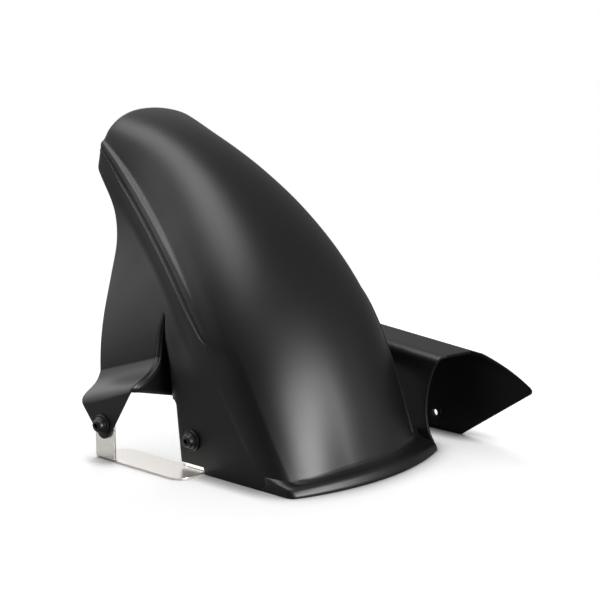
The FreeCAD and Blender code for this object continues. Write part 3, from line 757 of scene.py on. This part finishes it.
def guardNose():  # the outer wall past the plate's end, drawn to a point, with a rolled edge along its brow
    inner, outer = guardRounds()
    start, end = inner[-1], outer[0]
    edgeY = guard["outer"] - guard["margin"]
    spine = np.concatenate([[start + (end - start) * (edgeY - start[0]) / (end[0] - start[0])], outer])
    t = np.sin(np.linspace(0, math.pi / 2, guard["noseColumns"]))
    last = guardTip()[0][0] + guard["tipRadius"]
    x = guard["plateEnd"] + (last - guard["plateEnd"]) * t
    low, high = guardEnds(x)
    top = np.minimum(guardLift(x, spine[0, 1]), high)
    along = (x - guard["plateEnd"]) / (last - guard["plateEnd"])
    shrink = 1 + (guard["noseRoll"] / guard["margin"] - 1) * smoothStep(along)
    shrink = shrink * np.sqrt(np.clip((last - x) / guard["tipRadius"], 0, 1))
    rows = []
    for y, height in spine:
        z = np.maximum(top - (spine[0, 1] - height) * shrink, low)
        rows.append(np.stack([x, guard["outer"] - (guard["outer"] - y) * shrink, z], axis=-1))
    foot = rows[-1][:, 2]
    for share in np.linspace(0, 1, guard["wallRows"])[1:]:
        rows.append(np.stack([x, np.full_like(x, guard["outer"]), foot + (low - foot) * share], axis=-1))
    return np.stack(rows)


def drillGuard(piece):  # screw hole through the outer wall, in a round boss on its inner side
    x, z = guard["hole"]
    inside = guard["outer"] - shell["wall"]
    inward, outward = guard["drillReach"]
    for diameter, start, end, operation in (
            (guard["bossDiameter"], inside - guard["bossHeight"], inside + guard["bossSink"], "UNION"),
            (guard["holeDiameter"], inside - inward, guard["outer"] + outward, "DIFFERENCE")):
        mesh = bmesh.new()
        size = diameter / 2 * 0.001
        bmesh.ops.create_cone(mesh, cap_ends=True, segments=guard["drillSides"], radius1=size, radius2=size,
                              depth=(end - start) * 0.001)
        data = bpy.data.meshes.new("drill")
        mesh.to_mesh(data)
        mesh.free()
        drill = bpy.data.objects.new("drill", data)
        drill.location = toFrame((x, (start + end) / 2, z))
        drill.rotation_euler = (math.pi / 2, 0, 0)
        scene.collection.objects.link(drill)
        bpy.context.view_layer.update()
        cut = piece.modifiers.new("cut", "BOOLEAN")
        cut.operation = operation
        cut.object = drill
        settle(piece)
        bpy.data.objects.remove(drill)


guardSkin = joinNets([guardChannel(), guardNose()], guard["outside"])
guardPiece = settle(toPiece("chain_guard", guardSkin, blackAbs, shell["wall"], guard["edge"]))
drillGuard(guardPiece)
print("chain guard made:", len(guardPiece.data.polygons), "faces")

guardWeb = {
    "front": (-64.0, 96.5, 74.0), "rear": (-162.0, 96.5, 82.0), "angles": (22.0, 47.0), "lap": 0.02,
    "sink": 1.0, "columns": 30, "rows": 12, "edge": 0.4, "outside": (-100.0, 200.0, 110.0),
}


def makeGuardWeb():  # plate between the crown's left edge and the chain guard
    angles = np.linspace(*guardWeb["angles"], guardWeb["columns"])
    y, radius = crownSection(angles, leftLimit(angles) + guardWeb["lap"])
    top = fanPoint(angles, y, radius - guardWeb["sink"])
    foot = straightPath([guardWeb["front"], guardWeb["rear"]], [guardWeb["columns"] - 1])
    mesh = joinNets([between(top, foot, guardWeb["rows"])], guardWeb["outside"])
    return settle(toPiece("guard_web", mesh, blackAbs, shell["wall"], guardWeb["edge"]))


webPiece = makeGuardWeb()
print("guard web made")

fastener = {
    # profiles of (radius, place along the screw from the part's own seat, share of six flats)
    "washer": [
        (3.2, 0, 0), (8.6, 0, 0), (9, -0.4, 0), (9, -1.5, 0), (8.5, -2, 0), (3.4, -2, 0), (3.2, -1.8, 0),
    ],
    "screw": [
        (2.0, -5.0, 1), (2.0, -7.5, 1), (2.25, -7.8, 0.8), (3.3, -7.8, 0), (3.9, -7.65, 0), (4.7, -7.1, 0),
        (5.35, -6.3, 0), (5.7, -5.5, 0), (5.75, -4.4, 0), (5.9, -4.05, 0), (6.3, -3.75, 0), (6.9, -3.3, 0),
        (7.2, -3.05, 0), (7.25, -2.7, 0), (7.25, -2.15, 0), (7.1, -2.0, 0), (3.0, -2.0, 0),
    ],
    "nut": [
        (3.05, 0.3, 0), (3.35, 0, 0), (4.9, 0, 0), (5.0, 0.1, 0.6), (5.0, 0.5, 1), (5.0, 4.4, 1),
        (5.0, 4.9, 0.5), (4.8, 5.2, 0), (3.35, 5.2, 0), (3.05, 4.9, 0),
    ],
    "threadTip": [(3.0, -0.7, 0), (2.3, 0, 0)], "sides": 72, "smoothAngle": 35.0,
}


def turnedMesh(profile, ring):  # a profile turned about Y, joined into a ring or closed by flat ends
    turns = np.arange(fastener["sides"]) * 2 * math.pi / fastener["sides"]
    flats = 1 / np.cos((turns + math.pi / 6) % (math.pi / 3) - math.pi / 6)
    mesh = bmesh.new()
    rows = []
    for radius, along, share in profile:
        reach = radius * (1 + (flats - 1) * share)
        x, z = reach * np.cos(turns), reach * np.sin(turns)
        points = np.stack([x, np.full_like(turns, along), z], axis=-1) * 0.001
        rows.append([mesh.verts.new(p) for p in points])
    for near, far in zip(rows, rows[1:] + (rows[:1] if ring else [])):
        for k in range(len(near)):
            mesh.faces.new((near[k - 1], near[k], far[k], far[k - 1]))
    if not ring:
        mesh.faces.new(rows[0])
        mesh.faces.new(rows[-1])
    bmesh.ops.recalc_face_normals(mesh, faces=mesh.faces)
    return mesh


def pairTree(name, finish):  # one copy of the part on each of two seats
    tree = bpy.data.node_groups.new(name, "GeometryNodeTree")
    tree.interface.new_socket("part", in_out="INPUT", socket_type="NodeSocketGeometry")
    tree.interface.new_socket("part", in_out="OUTPUT", socket_type="NodeSocketGeometry")
    seats = [tree.interface.new_socket(key, in_out="INPUT", socket_type="NodeSocketVector")
             for key in ("front seat", "rear seat")]
    start = addNode(tree, "NodeGroupInput")
    joined = addNode(tree, "GeometryNodeJoinGeometry")
    for seat in seats:
        point = addNode(tree, "GeometryNodePoints", Count=1, Position=(start, seat.name))
        copy = addNode(tree, "GeometryNodeInstanceOnPoints",
                       Points=(point, "Points"), Instance=(start, "part"))
        tree.links.new(copy.outputs["Instances"], joined.inputs["Geometry"])
    plain = addNode(tree, "GeometryNodeRealizeInstances", Geometry=(joined, "Geometry"))
    painted = addNode(tree, "GeometryNodeSetMaterial", Geometry=(plain, "Geometry"), Material=finish)
    addNode(tree, "NodeGroupOutput", part=(painted, "Geometry"))
    return tree, [seat.identifier for seat in seats]


def seatOf(node, side):  # middle of a fastener's right (0) or left (1) face
    low, high = [np.array(corner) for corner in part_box(node)]
    middle = (low + high) / 2
    return [float(v) for v in (middle[0], (low, high)[side][1], middle[2])]


def makePair(name, mesh, seats, finish):
    piece = toPiece(name, mesh, finish)
    tree, inputs = pairTree(name + " on their seats", finish)
    spread = piece.modifiers.new("seats", "NODES")
    spread.node_group = tree
    for key, seat in zip(inputs, seats):
        spread[key] = seat
    return settle(piece, fastener["smoothAngle"])


bracket = {"merge": 0.02, "flatAngle": 0.2, "edge": 0.3, "smoothAngle": 18.0}


def makeBracket():  # the CAD bracket's own mesh, with its sheet edges broken
    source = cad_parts["bracket"]
    mesh = bmesh.new()
    mesh.from_mesh(source.data)
    mesh.transform(source.matrix_world)
    bmesh.ops.remove_doubles(mesh, verts=mesh.verts, dist=bracket["merge"] * 0.001)
    flat = math.radians(bracket["flatAngle"])
    bmesh.ops.dissolve_limit(mesh, angle_limit=flat, verts=mesh.verts, edges=mesh.edges)
    return settle(toPiece("steel_bracket", mesh, steel, edge=bracket["edge"]), bracket["smoothAngle"])


washerSeats = [seatOf(name, 1) for name in ("front_washer", "rear_washer")]
nutSeats = [seatOf(name, 0) for name in ("front_nut", "rear_nut")]
threadEnds = [seatOf(name, 1) for name in ("front_screw", "rear_screw")]
reach = min(end[1] - seat[1] for end, seat in zip(threadEnds, washerSeats)) * 1000
thread = [(radius, reach + along, share) for radius, along, share in fastener["threadTip"]]
washers = makePair("washers", turnedMesh(fastener["washer"], True), washerSeats, blackSteel)
screws = makePair("screws", turnedMesh(fastener["screw"] + thread, False), washerSeats, blackSteel)
nuts = makePair("nuts", turnedMesh(fastener["nut"], True), nutSeats, nutSteel)
bracketPiece = makeBracket()
print("hardware made, screws reach", round(reach, 2), "mm behind their washers")

stage = {
    "floor": 6.0, "near": 0.35, "far": 0.9, "glow": 0.62, "mirrored": 0.3,
    # contact, contactPower and contactRays set how far, how hard and with how many rays ambient occlusion
    # paints a contact shadow into the floor's glow
    "contact": 0.022, "contactPower": 4.0, "contactRays": 8, "paper": ("d6d6d6", "dcdcdc"), "fibre": 1.25,
    "roomSide": (0.664, -0.72, 0.2), "roomEdge": (0.25, 0.85), "room": 0.03,
    "brightSide": (-0.95, -0.27, 0.15), "brightEdge": (0.35, 0.9), "dimSide": 0.14, "brightLevel": 1.0,
    "lift": (0.0, 0.6), "low": 2.0, "high": 3.2, "fill": 0.35,
}
multiply = {"operation": "MULTIPLY"}
largest = {"operation": "MAXIMUM"}
eased = {"interpolation_type": "SMOOTHSTEP"}


def seenRays(tree, mirrored):  # camera, glossy and see-through rays; mirrored is the level in gloss
    path = addNode(tree, "ShaderNodeLightPath")
    glossy = addNode(tree, "ShaderNodeMath", multiply, i0=(path, "Is Glossy Ray"), i1=mirrored)
    through = addNode(tree, "ShaderNodeMath", largest, i0=(glossy, "Value"), i1=(path, "Is Transmission Ray"))
    seen = addNode(tree, "ShaderNodeMath", largest, i0=(through, "Value"), i1=(path, "Is Camera Ray"))
    return path, seen


def whiteGround():
    # White paper sweep: its matt part takes the object's real shadow, its glow is darkened by ambient
    # occlusion near the object as a painted contact shadow, and it goes plain white further off.
    finish, tree = newFinish("white paper sweep")
    place = addNode(tree, "ShaderNodeTexCoord")
    seen = seenRays(tree, stage["mirrored"])[1]
    fibre = addNode(tree, "ShaderNodeTexNoise", Vector=(place, "Object"), Scale=1000 / stage["fibre"])
    ramp = addNode(tree, "ShaderNodeValToRGB", Fac=(fibre, "Fac"))
    for stop, code in zip(ramp.color_ramp.elements, stage["paper"]):
        stop.color = linear(code)
    matt = addNode(tree, "ShaderNodeBsdfDiffuse", Color=(ramp, "Color"))
    rays = {"samples": stage["contactRays"]}
    # ambient occlusion darkens the floor's glow near the object: a painted contact shadow
    shade = addNode(tree, "ShaderNodeAmbientOcclusion", rays, Distance=stage["contact"])
    power = {"operation": "POWER"}
    soft = addNode(tree, "ShaderNodeMath", power, i0=(shade, "AO"), i1=stage["contactPower"])
    paintedShadowGlow = addNode(tree, "ShaderNodeMath", multiply, i0=(soft, "Value"), i1=stage["glow"])
    strength = addNode(tree, "ShaderNodeMath", multiply, i0=(seen, "Value"), i1=(paintedShadowGlow, "Value"))
    glow = addNode(tree, "ShaderNodeEmission", Strength=(strength, "Value"))
    near = addNode(tree, "ShaderNodeAddShader", i0=(matt, "BSDF"), i1=(glow, "Emission"))
    away = addNode(tree, "ShaderNodeEmission", Strength=(seen, "Value"))
    reach = addNode(tree, "ShaderNodeVectorMath", {"operation": "LENGTH"}, i0=(place, "Object"))
    blend = addNode(tree, "ShaderNodeMapRange", eased, Value=(reach, "Value"),
                    From_Min=stage["near"], From_Max=stage["far"])
    both = addNode(tree, "ShaderNodeMixShader", Fac=(blend, "Result"),
                   i1=(near, "Shader"), i2=(away, "Emission"))
    addNode(tree, "ShaderNodeOutputMaterial", Surface=(both, "Shader"))
    return finish


def studioWorld():
    # White for the camera. Gloss sees it brightest behind on the right, and dim on the camera's side.
    world = bpy.data.worlds.new("studio")
    world.use_nodes = True
    scene.world = world
    tree = world.node_tree
    tree.nodes.clear()
    path, seen = seenRays(tree, 1.0)
    place = addNode(tree, "ShaderNodeTexCoord")
    parts = addNode(tree, "ShaderNodeSeparateXYZ", Vector=(place, "Generated"))
    levels = []
    for side, edge, ends in (
            (stage["roomSide"], stage["roomEdge"], (1.0, stage["room"])),
            (stage["brightSide"], stage["brightEdge"], (stage["dimSide"], stage["brightLevel"]))):
        facing = addNode(tree, "ShaderNodeVectorMath", {"operation": "DOT_PRODUCT"}, i0=(place, "Generated"))
        facing.inputs[1].default_value = side
        levels.append(addNode(tree, "ShaderNodeMapRange", eased, Value=(facing, "Value"),
                              From_Min=edge[0], From_Max=edge[1], To_Min=ends[0], To_Max=ends[1]))
    low, high = stage["lift"]
    levels.append(addNode(tree, "ShaderNodeMapRange", eased, Value=(parts, "Z"),
                          From_Min=low, From_Max=high, To_Min=stage["low"], To_Max=stage["high"]))
    fill = addNode(tree, "ShaderNodeMapRange", Value=(seen, "Value"), To_Min=stage["fill"], To_Max=1.0)
    total = (fill, "Result")
    for level in levels:
        total = (addNode(tree, "ShaderNodeMath", multiply, i0=total, i1=(level, "Result")), "Value")
    bright = addNode(tree, "ShaderNodeMath", largest, i0=total, i1=(path, "Is Camera Ray"))
    sky = addNode(tree, "ShaderNodeBackground", Strength=(bright, "Value"))
    sky.inputs["Color"].default_value = (1, 1, 1, 1)
    addNode(tree, "ShaderNodeOutputWorld", Surface=(sky, "Background"))


def makeStage():
    mesh = bmesh.new()
    bmesh.ops.create_grid(mesh, x_segments=4, y_segments=4, size=stage["floor"])
    floor = toPiece("studio_floor", mesh, whiteGround())
    studioWorld()


def addLight(name, place, target, size, power, matt=True, gloss=True):
    # A soft box; matt and gloss say whether it lights the surface or only shows in its shine.
    data = bpy.data.lights.new(name, "AREA")
    data.shape = "RECTANGLE"
    data.size, data.size_y = size
    data.energy = power
    light = bpy.data.objects.new(name, data)
    light.location = place
    light.rotation_euler = (Vector(target) - Vector(place)).to_track_quat("-Z", "Y").to_euler()
    light.visible_diffuse = matt
    light.visible_glossy = gloss
    scene.collection.objects.link(light)


camera = {
    "place": (901.59, -1059.85, 436.17), "azimuth": 42.709, "elevation": 11.682,
    "lens": 103.8, "sensor": 36.0,
}


def makeCamera():
    data = bpy.data.cameras.new("camera")
    data.lens = camera["lens"]
    data.sensor_width = camera["sensor"]
    eye = bpy.data.objects.new("camera", data)
    eye.location = toFrame(camera["place"])
    eye.rotation_euler = (math.radians(90 - camera["elevation"]), 0, math.radians(camera["azimuth"]))
    scene.collection.objects.link(eye)
    scene.camera = eye


lights = {
    "overhead": {
        "place": (-0.1, 0.1, 1.6), "target": (0, 0, 0.1), "size": (1.4, 1.4), "power": 9.0, "gloss": False,
    },
    "behind": {
        "place": (-0.8, 0.95, 1.25), "target": (0, 0, 0.1), "size": (0.8, 0.8), "power": 9.0, "gloss": False,
    },
    "crownCard": {
        "place": (-0.12, -0.38, 1.5), "target": (-0.08, -0.05, 0.2), "size": (1.3, 0.8), "power": 38.0,
        "matt": False,
    },
    "frontCard": {
        "place": (1.65, -0.05, 0.42), "target": (0.1, 0, 0.08), "size": (1.3, 0.5), "power": 112.0,
        "matt": False,
    },
}
makeStage()
for name, settings in lights.items():
    addLight(name, **settings)
makeCamera()
print("stage, lights and camera set")
for piece in (shellPiece, lipPiece, guardPiece, webPiece):
    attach(piece, "root")
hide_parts("fender_shell")
for piece, slotName, nodes in (
        (washers, "black_steel", ("front_washer", "rear_washer")),
        (screws, "black_steel", ("front_screw", "rear_screw")),
        (nuts, "nut_steel", ("front_nut", "rear_nut")),
        (bracketPiece, "bracket_steel", ("bracket",))):
    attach(piece, "root")
    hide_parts(*nodes)
